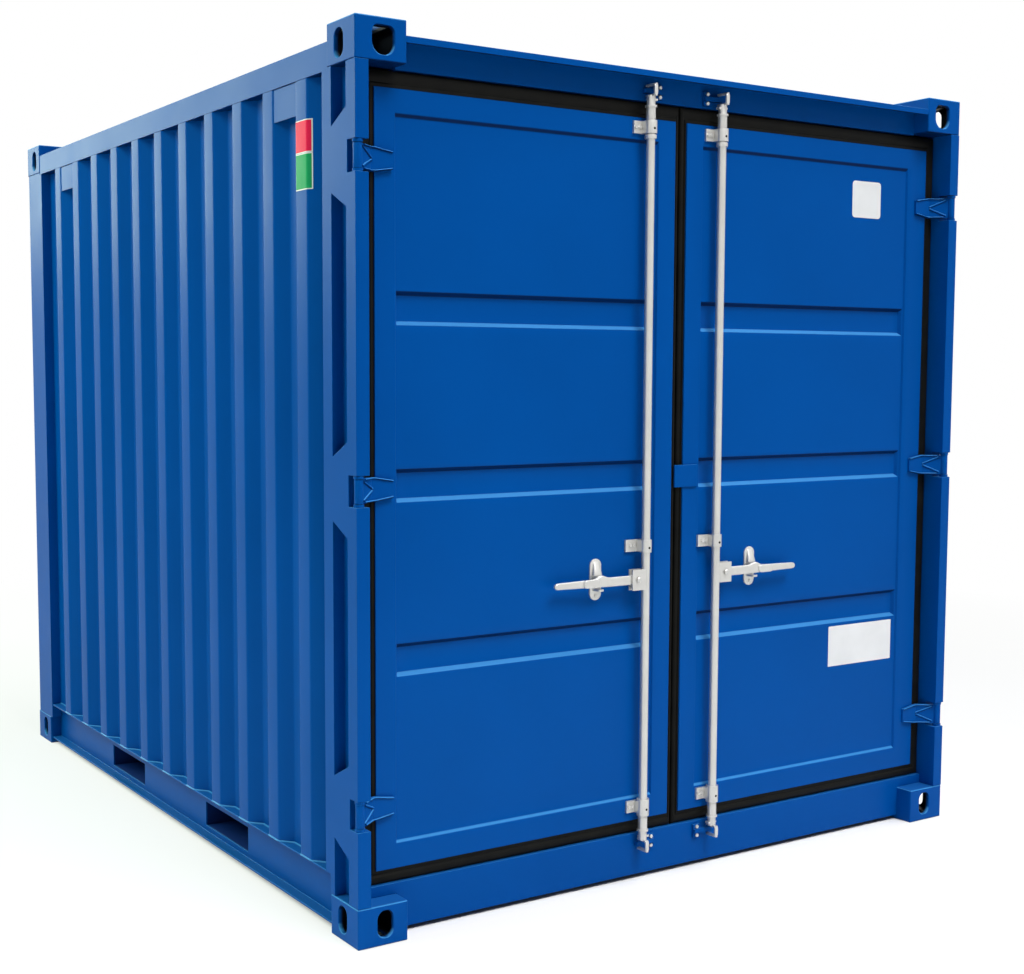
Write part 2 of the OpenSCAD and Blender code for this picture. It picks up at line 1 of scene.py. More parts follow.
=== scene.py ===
# %% [markdown]
# # A ten foot steel storage container
#
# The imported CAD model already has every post, rail, casting, hinge and bar at its true size. This
# lesson dresses it: it rebuilds the thin pressed sheets as smooth surfaces, adds the small fasteners,
# mixes the paint, zinc, rubber and plywood, and sets the camera and the light. Sizes of pieces are in
# millimetres, as on a maker's drawing, and `place` turns them into Blender's metres.

# %% Load the frame
import json
import math

import bpy
import numpy as np
from mathutils import Matrix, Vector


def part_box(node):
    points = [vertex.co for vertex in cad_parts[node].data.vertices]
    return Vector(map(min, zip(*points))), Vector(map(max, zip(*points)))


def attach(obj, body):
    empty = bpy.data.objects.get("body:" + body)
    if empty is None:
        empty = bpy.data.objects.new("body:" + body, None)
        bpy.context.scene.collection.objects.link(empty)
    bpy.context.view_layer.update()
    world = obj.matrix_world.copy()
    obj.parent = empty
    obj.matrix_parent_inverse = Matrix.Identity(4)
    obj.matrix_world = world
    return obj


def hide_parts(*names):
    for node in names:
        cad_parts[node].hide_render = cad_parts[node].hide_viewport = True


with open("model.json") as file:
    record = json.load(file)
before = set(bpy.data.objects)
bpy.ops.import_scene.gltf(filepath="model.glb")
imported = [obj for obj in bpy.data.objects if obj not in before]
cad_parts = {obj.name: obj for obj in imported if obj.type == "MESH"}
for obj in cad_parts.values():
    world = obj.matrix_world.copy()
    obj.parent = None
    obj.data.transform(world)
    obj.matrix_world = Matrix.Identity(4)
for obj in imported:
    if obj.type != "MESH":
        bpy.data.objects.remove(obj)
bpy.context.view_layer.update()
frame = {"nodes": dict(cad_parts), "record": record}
nodes = frame["nodes"]

# %% [markdown]
# ## The camera
#
# The photograph was taken from in front of the left door post, a little above the middle of the box.
# A camera could be placed by eye, but eight casting corners and the known size of the box give its
# place, its turn and its lens by least squares, so those numbers are written here. The box sits left
# of the middle of the picture, and the lens shift carries that instead of a turn of the camera.

# %% Camera
IMAGE_W, IMAGE_H = 1024, 974
FOCAL_PX = 1502.26
CENTRE_PX = (467.42, 496.24)
RIGHTWARD = (0.84226778, -0.53905512, 0.00213745)
UPWARD = (0.04259429, 0.07050481, 0.99660163)
BACKWARD = (-0.53737391, -0.83931439, 0.08234459)
CAMERA_SPOT = (-3.18344, -5.12961, 1.63029)


def standing(right, up, back, spot):
    """The matrix of an object at a spot, with its own three axes as columns."""
    return Matrix([[right[i], up[i], back[i], spot[i]] for i in range(3)] + [[0, 0, 0, 1]])


scene = bpy.context.scene
camera_data = bpy.data.cameras.new("photo_camera")
camera_data.sensor_fit = "HORIZONTAL"
camera_data.sensor_width = 36.0
camera_data.lens = FOCAL_PX * camera_data.sensor_width / IMAGE_W
camera_data.shift_x = (IMAGE_W / 2 - CENTRE_PX[0]) / IMAGE_W
camera_data.shift_y = (CENTRE_PX[1] - IMAGE_H / 2) / IMAGE_W
camera = bpy.data.objects.new("photo_camera", camera_data)
camera.matrix_world = standing(RIGHTWARD, UPWARD, BACKWARD, CAMERA_SPOT)
scene.collection.objects.link(camera)
scene.camera = camera
print("lens", round(camera_data.lens, 2), "mm")

# %% [markdown]
# ## The backdrop
#
# A box like this stands out best before plain white. One even white world could give both the backdrop
# and the light, but light from all round washes out the blue. So the world is white to the camera and
# to mirror rays, and much dimmer to the rays that only light the box.

# %% White world
WORLD_LIGHT = (0.86, 0.93, 1.0, 1)
WORLD_DIM = 0.17


def number_step(tree, operation, first, second):
    """One math node between two outputs."""
    node = tree.nodes.new("ShaderNodeMath")
    node.operation = operation
    tree.links.new(first, node.inputs[0])
    tree.links.new(second, node.inputs[1])
    return node.outputs[0]


def backdrop_rays(tree):
    """1 for the three kinds of ray that see the backdrop: camera, mirror and glass rays."""
    path = tree.nodes.new("ShaderNodeLightPath")
    seen = path.outputs["Is Camera Ray"]
    for kind in ("Is Glossy Ray", "Is Transmission Ray"):
        seen = number_step(tree, "MAXIMUM", seen, path.outputs[kind])
    return seen


def mix_shaders(tree, share, first, second, output):
    """Sends two shaders to the output: the first where the share is 0, the second where it is 1."""
    mix = tree.nodes.new("ShaderNodeMixShader")
    for source, socket in zip((share, first, second), mix.inputs):
        tree.links.new(source, socket)
    tree.links.new(mix.outputs[0], output.inputs["Surface"])


def background(tree, colour, strength):
    """A world shader of one colour."""
    node = tree.nodes.new("ShaderNodeBackground")
    node.inputs["Color"].default_value = colour
    node.inputs["Strength"].default_value = strength
    return node.outputs[0]


scene.view_settings.view_transform = "Standard"
world = bpy.data.worlds.new("white_studio")
world.use_nodes = True
scene.world = world
sky = world.node_tree
sky.nodes.clear()
mix_shaders(sky, backdrop_rays(sky), background(sky, WORLD_LIGHT, WORLD_DIM),
            background(sky, (1, 1, 1, 1), 1.0), sky.nodes.new("ShaderNodeOutputWorld"))
print("world of", len(sky.nodes), "nodes")

# %% [markdown]
# ## The lamps
#
# Outdoors the long side of such a box mirrors the bright sky, and its doors do not. A single lamp could
# not light them so differently. So a low strip of light stands behind the left side, where the wall
# mirrors it, and two panels light the doors and the side from high up, as the sky does. The one for
# the doors has a narrow beam that is aimed at their feet, so they are lit evenly and the header stays
# in the shade of its lip. A fourth panel only shows in edges and slopes that face up.

# %% Lamps
SKY = (0.82, 1.0, 0.77)
WHITE = (1.0, 1.0, 1.0)


def soft_panel(name, spot, aim, size, power, colour=WHITE, beam=180.0):
    """A rectangular lamp at one spot that faces another, with a beam of some degrees."""
    data = bpy.data.lights.new(name, "AREA")
    data.color = colour
    data.shape = "RECTANGLE"
    data.size, data.size_y = size
    data.energy = power
    data.spread = math.radians(beam)
    back = np.array(spot, float) - np.array(aim, float)
    back /= np.linalg.norm(back)
    right = np.cross((0, 0, 1), back)
    right /= np.linalg.norm(right)
    lamp = bpy.data.objects.new(name, data)
    lamp.matrix_world = standing(right, np.cross(back, right), back, spot)
    scene.collection.objects.link(lamp)
    print(name, power, "W")


soft_panel("sky_strip", (-6.2, 11.3, 5.0), aim=(-1.2, 0.0, 1.6), size=(8.0, 4.0), power=690, colour=SKY)
soft_panel("door_panel", (0.4, -7.0, 9.5), aim=(0.0, -1.7, 0.0), size=(5.0, 4.0), power=138, beam=60.0)
soft_panel("side_panel", (-7.0, 1.2, 7.5), aim=(-1.2, 0.0, 1.2), size=(5.0, 5.0), power=760, colour=SKY)
soft_panel("top_panel", (5.0, -2.0, 10.0), aim=(0.0, -1.0, 1.5), size=(6.0, 7.0), power=600)

# %% [markdown]
# ## Nodes
#
# A Blender material is a net of small nodes, and the same few sums come back in every net below. They
# could be drawn by hand in the shader editor. A function for each sum is shorter, and its name says
# what the sum is for.


# %% Node helpers
def new_material(name):
    """A node material that holds only a shader, joined to its output."""
    material = bpy.data.materials.new(name)
    material.use_nodes = True
    tree = material.node_tree
    tree.nodes.clear()
    shader = tree.nodes.new("ShaderNodeBsdfPrincipled")
    tree.links.new(shader.outputs[0], tree.nodes.new("ShaderNodeOutputMaterial").inputs["Surface"])
    return material, tree, shader


def object_point(tree):
    """The place of a point in the piece's own metres."""
    return tree.nodes.new("ShaderNodeTexCoord").outputs["Object"]


def vector_step(tree, operation, first, second=(0, 0, 0), result="Vector"):
    """One vector node. Each input is another node's output or a fixed vector."""
    node = tree.nodes.new("ShaderNodeVectorMath")
    node.operation = operation
    for value, socket in zip((first, second), node.inputs):
        if isinstance(value, bpy.types.NodeSocket):
            tree.links.new(value, socket)
        else:
            socket.default_value = tuple(value)
    return node.outputs[result]


def pick(tree, operation, vector, axes):
    """The least or the most of some parts of a vector."""
    parts = tree.nodes.new("ShaderNodeSeparateXYZ")
    tree.links.new(vector, parts.inputs[0])
    chosen = parts.outputs[axes[0]]
    for axis in axes[1:]:
        chosen = number_step(tree, operation, chosen, parts.outputs[axis])
    return chosen


def rescale(tree, value, start, end, low=0.0, high=1.0):
    """A number from low to high as the value goes from start to end, and held beyond both."""
    scale = tree.nodes.new("ShaderNodeMapRange")
    for name, number in zip(("From Min", "From Max", "To Min", "To Max"), (start, end, low, high)):
        scale.inputs[name].default_value = number
    tree.links.new(value, scale.inputs["Value"])
    return scale.outputs[0]


LENGTH, WIDTH, HEIGHT = 2991.0, 2438.0, 2591.0
BOX = np.array([WIDTH, LENGTH, HEIGHT]) / 1000
print("a box of", BOX, "m")

# %% [markdown]
# ## The floor
#
# The floor is a broad pale disc. If it only glowed, it would hide the shadow that holds the box to the
# ground, and if it were only lit, a grey horizon would show. So near the box it is partly lit and takes
# the shadow, and further out it fades to the white of the backdrop. Under the box it does not glow at
# all, so that no light shines up through the castings.

# %% Floor
FLOOR_RADIUS, FLOOR_SIDES, FLOOR_DROP = 40.0, 96, 0.001
FADE_START, FADE_END, NEAR_GLOW = 2.2, 6.5, 0.66


def floor_material():
    """White for the backdrop rays, mixed with lit white that takes the shadow. Under the box, where
    both |x| and |y| are less than half its size, the floor is only lit, and so it is dark."""
    material, tree, shader = new_material("pale_floor")
    shader.inputs["Base Color"].default_value = (0.9, 0.9, 0.9, 1)
    shader.inputs["Roughness"].default_value = 0.9
    shader.inputs["Specular IOR Level"].default_value = 0.0
    output = shader.outputs[0].links[0].to_node
    glow = tree.nodes.new("ShaderNodeEmission")
    glow.inputs["Strength"].default_value = 1.0
    point = object_point(tree)
    away = vector_step(tree, "LENGTH", point, result="Value")
    fade = rescale(tree, away, FADE_START, FADE_END, NEAR_GLOW)
    beyond = vector_step(tree, "SUBTRACT", vector_step(tree, "ABSOLUTE", point), BOX / 2)
    outside = rescale(tree, pick(tree, "MAXIMUM", beyond, "XY"), -0.06, -0.01)
    share = number_step(tree, "MULTIPLY", fade, outside)
    share = number_step(tree, "MULTIPLY", backdrop_rays(tree), share)
    mix_shaders(tree, share, shader.outputs[0], glow.outputs[0], output)
    return material


angle = np.linspace(0, 2 * np.pi, FLOOR_SIDES, endpoint=False)
disc = np.stack([FLOOR_RADIUS * np.cos(angle), FLOOR_RADIUS * np.sin(angle), 0 * angle - FLOOR_DROP], 1)
floor_mesh = bpy.data.meshes.new("pale_floor")
floor_mesh.from_pydata(disc.tolist(), [], [list(range(FLOOR_SIDES))])
floor_mesh.materials.append(floor_material())
floor = bpy.data.objects.new("pale_floor", floor_mesh)
scene.collection.objects.link(floor)
print("floor of", len(disc), "points")

# %% [markdown]
# ## The finishes
#
# One flat colour makes steel look like plastic: a real coat drifts in its shade and changes in its gloss.
# Pictures of paint could be wrapped round the pieces, but they stretch, and every piece needs a map for
# them. Noise that is worked out on Object coordinates needs no map, and it stays on its piece when
# a door swings.


# %% Noise helpers
def noise(tree, scale, detail=3.0, stretch=None):
    """Value noise on Object coordinates, with a number of waves per metre and an optional stretch."""
    point = object_point(tree)
    if stretch:
        mapping = tree.nodes.new("ShaderNodeMapping")
        mapping.inputs["Scale"].default_value = stretch
        tree.links.new(point, mapping.inputs["Vector"])
        point = mapping.outputs[0]
    field = tree.nodes.new("ShaderNodeTexNoise")
    field.inputs["Scale"].default_value = scale
    field.inputs["Detail"].default_value = detail
    tree.links.new(point, field.inputs["Vector"])
    return field.outputs["Fac"]


NOISE_LOW, NOISE_HIGH = 0.3, 0.7


def blend_colours(tree, factor, low, high):
    """A colour between low and high as the factor goes over the range where most noise lies."""
    ramp = tree.nodes.new("ShaderNodeValToRGB")
    first, last = ramp.color_ramp.elements
    first.position, first.color = NOISE_LOW, (*low, 1)
    last.position, last.color = NOISE_HIGH, (*high, 1)
    tree.links.new(factor, ramp.inputs[0])
    return ramp.outputs["Color"]


def bumps(tree, shader, factor, strength, height):
    """Leans the shader's normal by the slope of the factor, for bumps of a height in metres."""
    bump = tree.nodes.new("ShaderNodeBump")
    bump.inputs["Strength"].default_value = strength
    bump.inputs["Distance"].default_value = height
    tree.links.new(factor, bump.inputs["Height"])
    tree.links.new(bump.outputs[0], shader.inputs["Normal"])


print("colours blend over noise from", NOISE_LOW, "to", NOISE_HIGH)

# %% [markdown]
# Slopes that face up get a painted highlight, a paler blue where the sky would shine, and slopes that look
# down get painted shade. Both could be painted by hand, but the normal of a face already tells which way it
# looks. Painted shade also darkens the insides of the corner castings, and a few sums on a point find them.

# %% Where the coat changes
CASTING = np.array([162.0, 165.0, 118.0]) / 1000


def facing_up(tree):
    """The upright part of the normal: 1 on level tops, 0 on upright faces and -1 on undersides."""
    upward = tree.nodes.new("ShaderNodeSeparateXYZ")
    tree.links.new(tree.nodes.new("ShaderNodeTexCoord").outputs["Normal"], upward.inputs[0])
    return upward.outputs["Z"]


def ledges(tree, start):
    """0 on upright faces, 1 on slopes from a little past the start, and a fifth on level tops."""
    ramp = tree.nodes.new("ShaderNodeValToRGB")
    for slope in (start + 0.2, 0.85):
        ramp.color_ramp.elements.new(slope).color = (1, 1, 1, 1)
    ramp.color_ramp.elements[0].position = start
    ramp.color_ramp.elements[-1].color = (0.2, 0.2, 0.2, 1)
    tree.links.new(facing_up(tree), ramp.inputs[0])
    return ramp.outputs["Color"]


def undersides(tree):
    """0 on upright faces and 1 on those that look half down or more."""
    return rescale(tree, facing_up(tree), -0.15, -0.5)


def casting_hollow(tree):
    """0 on the outside of a corner casting and 1 from 14 mm in. The way to its faces is half its size
    less |point - middle|, the same for all eight corners, and the shortest of the three ways counts."""
    point = vector_step(tree, "SUBTRACT", object_point(tree), (0, 0, BOX[2] / 2))
    point = vector_step(tree, "ABSOLUTE", point)
    from_middle = vector_step(tree, "ABSOLUTE", vector_step(tree, "SUBTRACT", point, (BOX - CASTING) / 2))
    ways = vector_step(tree, "SUBTRACT", CASTING / 2, from_middle)
    return rescale(tree, pick(tree, "MINIMUM", ways, "XYZ"), 0.006, 0.014)


def cover(tree, coat, share, colour):
    """Lays one colour over a coat where the share is 1."""
    mix = tree.nodes.new("ShaderNodeMix")
    mix.data_type = "RGBA"
    mix.inputs["B"].default_value = (*colour, 1)
    tree.links.new(share, mix.inputs["Factor"])
    tree.links.new(coat, mix.inputs["A"])
    return mix.outputs["Result"]


print("castings of", CASTING, "m")

# %% [markdown]
# ### Blue enamel
#
# Satin enamel is sprayed over every steel sheet. It could be one colour with one gloss, but a sprayed coat
# has a faint orange peel and small changes of gloss, and these make the broad doors look like steel. A
# painted highlight on slopes that face up, painted shade on undersides and painted shade inside the castings
# are laid over it, in that order.

# %% Enamel
BLUE = ((0.0, 0.063, 0.288), (0.0, 0.069, 0.314))
# Painted highlight: a paler blue for slopes that face up, where the sky would shine.
LEDGE_HIGHLIGHT = (0.04, 0.22, 0.53)
# Painted shade: a near black blue for faces that look down.
UNDERSIDE_SHADE = (0.0, 0.016, 0.085)
# Painted shade: nearly black, for the insides of the corner castings.
HOLLOW_SHADE = (0.006, 0.007, 0.011)


def enamel(name, ledge_start=0.36, hollow=None):
    """Sprayed satin enamel: a slow drift of tone, a changing gloss, a faint orange peel, a painted highlight
    on slopes that face up, painted shade on undersides and, where a hollow is given, painted shade inside it."""
    material, tree, shader = new_material(name)
    coat = blend_colours(tree, noise(tree, 1.7), *BLUE)
    # Painted highlight on slopes that face up.
    coat = cover(tree, coat, ledges(tree, ledge_start), LEDGE_HIGHLIGHT)
    # Painted shade on faces that look down.
    coat = cover(tree, coat, undersides(tree), UNDERSIDE_SHADE)
    # Painted shade inside the hollow, where one is given.
    if hollow:
        coat = cover(tree, coat, hollow(tree), HOLLOW_SHADE)
    tree.links.new(coat, shader.inputs["Base Color"])
    tree.links.new(rescale(tree, noise(tree, 5.0), 0, 1, 0.26, 0.42), shader.inputs["Roughness"])
    shader.inputs["Specular IOR Level"].default_value = 0.035
    bumps(tree, shader, noise(tree, 330.0, 2.0), 0.05, 0.0006)
    return material


blue_enamel = enamel("blue_enamel")
# On the castings the painted highlight starts on gentler slopes, so that it lies along their rounded top
# edges.
casting_enamel = enamel("casting_enamel", 0.08, casting_hollow)
print("enamel of", len(blue_enamel.node_tree.nodes), "nodes")

# %% [markdown]
# ### Underseal and painted shade
#
# The beams and fork pockets below the floor are sprayed with dark wax against rust, and its dark blue is also
# painted shade, for the shade they lie in below the floor. It could share the enamel, but wax is dull and
# laid on unevenly, so one noise drives both its tone and its roughness.


# %% Underseal
def shaded_underseal(name):
    """Dark blue wax sprayed under the floor, uneven and dull; its dark blue is also painted shade."""
    material, tree, shader = new_material(name)
    sprayed = noise(tree, 7.0, 4.0)
    # Painted shade and wax: a near black blue for the beams and pockets below the floor.
    tree.links.new(blend_colours(tree, sprayed, (0.002, 0.018, 0.11), (0.003, 0.024, 0.14)),
                   shader.inputs["Base Color"])
    tree.links.new(rescale(tree, sprayed, 0, 1, 0.5, 0.75), shader.inputs["Roughness"])
    shader.inputs["Specular IOR Level"].default_value = 0.1
    return material


floor_wax_and_shade = shaded_underseal("floor_wax_and_shade")
print("underseal of", len(floor_wax_and_shade.node_tree.nodes), "nodes")

# %% [markdown]
# ### Zinc
#
# The lock gear is dipped in molten zinc, which sets to a pale, cloudy metal. A full metal would show only the
# white of the backdrop, so a third of it stays a plain pale coat. Slow clouds change its shade and its
# gloss together. The roughness never falls below 0.3, as a sharper mirror shows each cloud as a line.

# %% Zinc
ZINC = ((0.61, 0.6, 0.58), (0.65, 0.64, 0.62))


def galvanised(name):
    """Bright zinc: pale metal with slow clouds in its shade and its gloss."""
    material, tree, shader = new_material(name)
    clouds = noise(tree, 11.0, 2.0)
    tree.links.new(blend_colours(tree, clouds, *ZINC), shader.inputs["Base Color"])
    tree.links.new(rescale(tree, clouds, NOISE_LOW, NOISE_HIGH, 0.3, 0.36), shader.inputs["Roughness"])
    shader.inputs["Metallic"].default_value = 0.65
    return material


zinc = galvanised("galvanised_zinc")
print("zinc of", len(zinc.node_tree.nodes), "nodes")

# %% [markdown]
# ### Rubber
#
# Door seals are extruded rubber: nearly black, with a dusty bloom. Pure black would hide their ribs, so the
# bloom lifts the colour a little in patches, and a fine grain breaks up the gloss.


# %% Rubber
def black_rubber(name):
    """Extruded rubber: nearly black, with a dusty bloom in patches and a fine grain."""
    material, tree, shader = new_material(name)
    dust = noise(tree, 14.0, 5.0)
    tree.links.new(blend_colours(tree, dust, (0.002, 0.002, 0.002), (0.006, 0.006, 0.005)),
                   shader.inputs["Base Color"])
    tree.links.new(rescale(tree, dust, 0, 1, 0.45, 0.7), shader.inputs["Roughness"])
    shader.inputs["Specular IOR Level"].default_value = 0.1
    bumps(tree, shader, noise(tree, 600.0, 2.0), 0.12, 0.0005)
    return material


rubber = black_rubber("black_rubber")
print("rubber of", len(rubber.node_tree.nodes), "nodes")

# %% [markdown]
# ### Plywood
#
# The floor is coated plywood. Its grain could come from a wave texture, but real grain wanders, so it is
# noise that a Mapping node draws out along the length of the box.

# %% Plywood
GRAIN_STRETCH = (1.0, 0.06, 1.0)


def plywood(name):
    """Coated plywood: brown grain drawn out along the length of the box."""
    material, tree, shader = new_material(name)
    grain = noise(tree, 22.0, 7.0, GRAIN_STRETCH)
    tree.links.new(blend_colours(tree, grain, (0.12, 0.06, 0.025), (0.3, 0.17, 0.075)),
                   shader.inputs["Base Color"])
    tree.links.new(rescale(tree, grain, 0, 1, 0.5, 0.7), shader.inputs["Roughness"])
    bumps(tree, shader, grain, 0.15, 0.002)
    return material


FINISH = {"blue_paint": blue_enamel, "zinc": zinc, "rubber": rubber, "plywood": plywood("coated_plywood")}
print("finishes:", ", ".join(FINISH))

# %% [markdown]
# ## Dressing the CAD nodes
#
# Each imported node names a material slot. Real plate has rolled or ground edges that catch the light,
# and a razor sharp corner never looks like steel. The nodes come in as loose triangles, so a Weld
# joins them and a Bevel then rounds only the edges that turn by more than 40 degrees.

# %% Paint and round the nodes
SLOT = {s["node"]: s["material_slot"] for s in frame["record"]["subparts"]}
COAT = {"bottom_castings": casting_enamel, "top_castings": casting_enamel, "floor_beams": floor_wax_and_shade,
        "fork_pocket_plates": floor_wax_and_shade, "fork_pocket_webs": floor_wax_and_shade}
CASTING_EDGE, POST_EDGE, PLATE_EDGE = 3.5, 2.5, 1.2
EDGE = {"bottom_castings": CASTING_EDGE, "top_castings": CASTING_EDGE,
        "left_door_post": POST_EDGE, "right_door_post": POST_EDGE,
        "left_rear_post": POST_EDGE, "right_rear_post": POST_EDGE, "plywood_floor": 0.0}


def round_edges(piece, width):
    """Welds loose triangles and rounds the sharp edges to a radius in millimetres. Only the thick
    castings can take a full round at every edge, so thinner plate is held back on small faces."""
    weld = piece.modifiers.new("weld", "WELD")
    weld.merge_threshold = 1e-5
    bevel = piece.modifiers.new("rounded_edges", "BEVEL")
    bevel.width = width / 1000
    bevel.segments = 3
    bevel.limit_method = "ANGLE"
    bevel.angle_limit = math.radians(40)
    bevel.use_clamp_overlap = width < CASTING_EDGE
    bevel.harden_normals = False


for name, piece in nodes.items():
    piece.data.materials.clear()
    piece.data.materials.append(COAT.get(name) or FINISH[SLOT[name]])
    width = EDGE.get(name, PLATE_EDGE)
    if width:
        round_edges(piece, width)
print("dressed", len(nodes), "nodes,", len(COAT), "with a coat of their own")

# %% [markdown]
# ## Surfaces from arrays
#
# Every new piece below is a loft: a ring of points, a profile, that is carried along a path and changes
# as it goes. Blender's own curves could carry a profile too, but they hold it the same all the way. So
# the rings are one array of shape (rings, points, 3), and a formula fills it. Neighbouring rings join
# with quads, and the two end rings are closed with a face each, so a piece is always a closed skin.

# %% Places and lofts
LEFT, RIGHT = -1, 1
SIDES = {"left": LEFT, "right": RIGHT}


def place(u, d, z, side=LEFT):
    """Millimetres in from a side, in from the door end and up, as metres."""
    u, d, z = np.broadcast_arrays(np.asarray(u, float), np.asarray(d, float), np.asarray(z, float))
    return np.stack([side * (WIDTH / 2 - u), d - LENGTH / 2, z], -1) / 1000


def loft(rings, closed=False):
    """Points, quads and ends: each quad joins two neighbours on one ring to the same two on the next,
    and a loft that doesn't close on itself has an end face on its first and its last ring."""
    count, around = rings.shape[:2]
    row = np.arange(count if closed else count - 1)[:, None]
    col = np.arange(around)[None, :]
    nxt, turn = (row + 1) % count, (col + 1) % around
    quads = np.stack([row * around + col, row * around + turn, nxt * around + turn, nxt * around + col], -1)
    ends = [] if closed else [np.arange(around)[::-1], np.arange((count - 1) * around, count * around)]
    return rings.reshape(-1, 3), quads.reshape(-1, 4), ends


square = np.array([[0.0, 0, 0], [1, 0, 0], [1, 1, 0], [0, 1, 0]])
cube = loft(np.stack([square, square + (0, 0, 1)]))
print("a cube lofted from two squares has", len(cube[1]), "quads and", len(cube[2]), "ends")

# %% [markdown]
# Blender shades a face by the side that its corners run round, so every face has to point outwards. That
# could be mended afterwards by recalculating normals. Here the sign of the enclosed volume tells whether
# a skin is inside out, before it becomes a mesh.


# %% Closed skins
def volume(points, quads, ends):
    """Enclosed volume: the sum of the pyramids from the origin to each triangle of a fan."""
    fans = [quads[:, [0, 1, 2]], quads[:, [0, 2, 3]]]
    fans += [np.stack([np.full(len(e) - 2, e[0]), e[1:-1], e[2:]], 1) for e in ends]
    a, b, c = np.moveaxis(points[np.concatenate(fans)], 1, 0)
    return float(np.einsum("ij,ij->i", a, np.cross(b, c)).sum() / 6)


def join(skins):
    """The points and faces of several skins as one, each turned so that its faces point outwards."""
    points, faces, start = [], [], 0
    for spots, quads, ends in skins:
        if volume(spots - spots.mean(0), quads, ends) < 0:
            quads, ends = quads[:, ::-1], [e[::-1] for e in ends]
        points.append(spots)
        faces += (quads + start).tolist() + [(e + start).tolist() for e in ends]
        start += len(spots)
    return np.concatenate(points), faces


def add_piece(name, skins, body, slot, material=None, stands_for=(), smooth=35):
    """Puts closed skins into one mesh that rides on a body, and can stand for CAD nodes. Edges that turn
    by more than some degrees stay sharp."""
    points, faces = join(skins)
    mesh = bpy.data.meshes.new(name)
    mesh.from_pydata(points.tolist(), [], faces)
    mesh.shade_smooth()
    mesh.set_sharp_from_angle(angle=math.radians(smooth))
    mesh.materials.append(material or FINISH[slot])
    piece = bpy.data.objects.new(name, mesh)
    scene.collection.objects.link(piece)
    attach(piece, body)
    if stands_for:
        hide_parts(*stands_for)
    print(name, len(points), "points", len(faces), "faces")


print("the cube holds", abs(volume(*cube)), "cubic metre")

# %% [markdown]
# Sheet steel bends in arcs. A Bevel could round a folded sheet, but its width would be limited by the
# shortest fold. So a path is drawn with sharp corners, each corner is turned into an arc, and
# the same path moved sideways gives the sheet its thickness.


# %% Paths
def rounded(corners, radius, steps=6):
    """A polyline with each corner turned into an arc: the arc starts radius * tan(half turn) before
    the corner, and its points swing evenly from the first direction to the second."""
    corners = np.asarray(corners, float)
    before, after = corners[1:-1] - corners[:-2], corners[2:] - corners[1:-1]
    before /= np.linalg.norm(before, axis=1, keepdims=True)
    after /= np.linalg.norm(after, axis=1, keepdims=True)
    turn = np.arctan2(before[:, 0] * after[:, 1] - before[:, 1] * after[:, 0], (before * after).sum(1))
    reach = radius * np.tan(np.abs(turn) / 2)
    start = corners[1:-1] - before * reach[:, None]
    left = np.stack([-before[:, 1], before[:, 0]], 1) * np.sign(turn)[:, None]
    share = np.linspace(0, 1, steps)[None, :, None] * np.abs(turn)[:, None, None]
    arc = start[:, None] + radius * (np.sin(share) * before[:, None] + (1 - np.cos(share)) * left[:, None])
    return np.concatenate([corners[:1], arc.reshape(-1, 2), corners[-1:]])


def offset(path, distance):
    """The path moved sideways: each point goes along the normal of the line through its neighbours."""
    along = np.gradient(path, axis=0)
    along /= np.linalg.norm(along, axis=1, keepdims=True)
    return path + distance * np.stack([-along[:, 1], along[:, 0]], 1)


def strip(outer, inner, z0, z1):
    """Rings of four points across a thin sheet: outside bottom and top, inside top and bottom."""
    rings = np.stack([outer, outer, inner, inner], 1)
    return rings[..., 0], rings[..., 1], np.broadcast_to([z0, z1, z1, z0], rings.shape[:2])


print("a square bend becomes", len(rounded([[0, 0], [50, 0], [50, 50]], 10.0)), "points")

# %% [markdown]
# ## Corrugated walls
#
# The walls are flat sheet pressed into trapezoid waves. The CAD sheets could stay, but their bends are
# knife edged. A real press brake leaves a radius of about 14 mm, and that radius draws the soft light
# line along each strip. So the wave is a polyline with its corners turned into arcs, given the
# thickness of the sheet and carried from the bottom rail to the top rail.

# %% Walls
PITCH, FLAT, RUN = 225.5, 70.0, 43.0
OUTER, INNER, SHEET, BEND = 3.0, 39.0, 2.0, 14.0
SIDE_START, SIDE_WAVES = 332.0, 11
BACK_EDGE, BACK_WAVES = 100.0, 10


def wave_path(first, count, start, end):
    """Corners of the waves as (along, depth): four for each outer flat, and the two ends."""
    centre = first + PITCH * np.arange(count)[:, None]
    along = centre + np.array([-FLAT / 2 - RUN, -FLAT / 2, FLAT / 2, FLAT / 2 + RUN])
    depth = np.broadcast_to(np.array([INNER, OUTER, OUTER, INNER]), along.shape)
    corners = np.stack([along.ravel(), depth.ravel()], 1)
    return rounded(np.concatenate([[[start, INNER]], corners, [[end, INNER]]]), BEND)


low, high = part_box("left_wall")
WALL_Z = (low[2] * 1000, high[2] * 1000)
WALL_D = (low[1] * 1000 + LENGTH / 2, high[1] * 1000 + LENGTH / 2)
side_path = wave_path(SIDE_START, SIDE_WAVES, *WALL_D)
along, depth, z = strip(side_path, offset(side_path, SHEET), *WALL_Z)
for name, side in SIDES.items():
    add_piece(name + "_wall_sheet", [loft(place(depth, along, z, side))], "container", "blue_paint",
              stands_for=[name + "_wall"])
back_start = WIDTH / 2 - PITCH * (BACK_WAVES - 1) / 2
back_path = wave_path(back_start, BACK_WAVES, BACK_EDGE, WIDTH - BACK_EDGE)
along, depth, z = strip(back_path, offset(back_path, SHEET), *WALL_Z)
add_piece("rear_wall_sheet", [loft(place(along, LENGTH - depth, z))], "container", "blue_paint",
          stands_for=["rear_wall"])

# %% [markdown]
# ## Pressed door sheets
#
# Each leaf is one sheet with a shallow panel and three deeper bands pressed into it. Faces could be pushed
# in by hand, but then every slope has edges to round. So the pressing is a depth over the plane of
# the door: along each axis a ramp rises from 0 at the edge to 1 at the foot of the slope, the smaller
# of the two ramps wins, and a smooth step rounds its two bends. The grid has most of its lines on
# the slopes, where the sheet bends.

